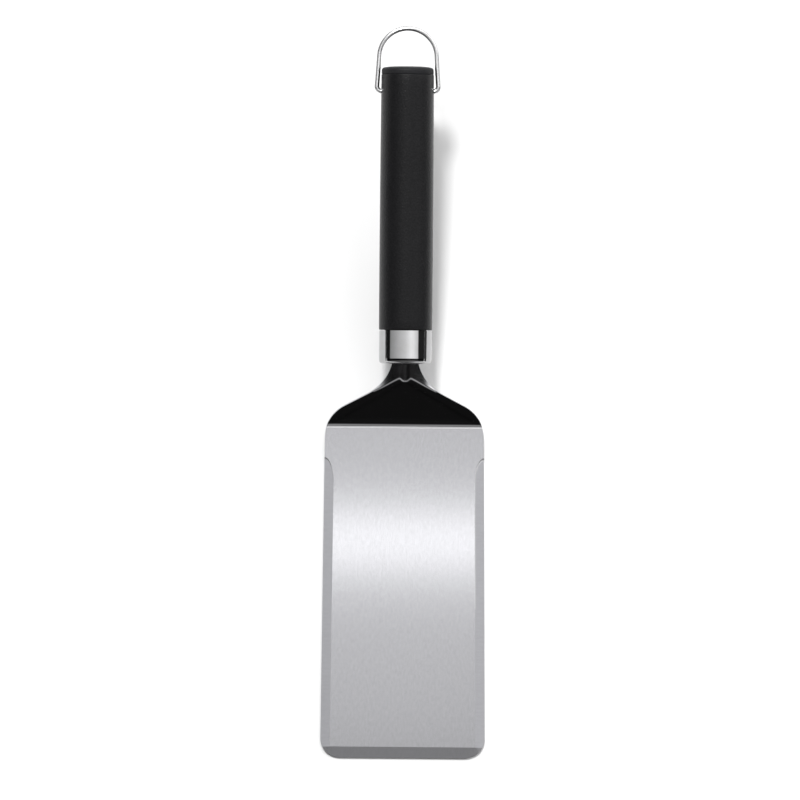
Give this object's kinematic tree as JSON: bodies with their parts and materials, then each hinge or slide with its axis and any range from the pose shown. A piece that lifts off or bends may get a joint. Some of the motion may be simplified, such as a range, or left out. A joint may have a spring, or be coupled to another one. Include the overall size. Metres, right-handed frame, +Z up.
{
  "type": "grill spatula",
  "caption": "Long grill turner: flat pressed steel blade with ground edges, offset ramp, round soft grip with chromed ferrule, end cap and swinging wire hanging loop.",
  "frame": {"origin": "centre of the blade's flat underside, which rests on a table at z = 0", "axes": "+Y from the blade's tip towards the handle's end, +Z up from the blade's underside, +X to the right across the blade"},
  "size_m": [0.089, 0.3926, 0.0684],
  "materials": {
    "blade_steel": "fine lengthwise brushed, edges ground crosswise",
    "ferrule_chrome": "polished chrome plate",
    "seal_rubber": "moulded rubber",
    "core_nylon": "moulded glass-filled nylon",
    "pin_steel": "drawn wire",
    "soft_grip": "soft-touch moulding with a fine satin grain",
    "cap_plastic": "satin moulded",
    "wire_chrome": "polished chrome plate"
  },
  "bodies": {
    "spatula": {"blade": "blade_steel", "ferrule": "ferrule_chrome", "neck_seal": "seal_rubber", "handle_core": "core_nylon", "tang_pin_front": "pin_steel", "tang_pin_rear": "pin_steel", "grip_sleeve": "soft_grip", "end_cap": "cap_plastic"},
    "bail": {"hanging_bail": "wire_chrome"}
  },
  "joints": [
    {"name": "bail_swing", "type": "hinge", "parent": "spatula", "child": "bail", "pos_m": [0, 0.2666, 0.05227], "axis": [1, 0, 0], "range_deg": [-150, 150]}
  ]
}
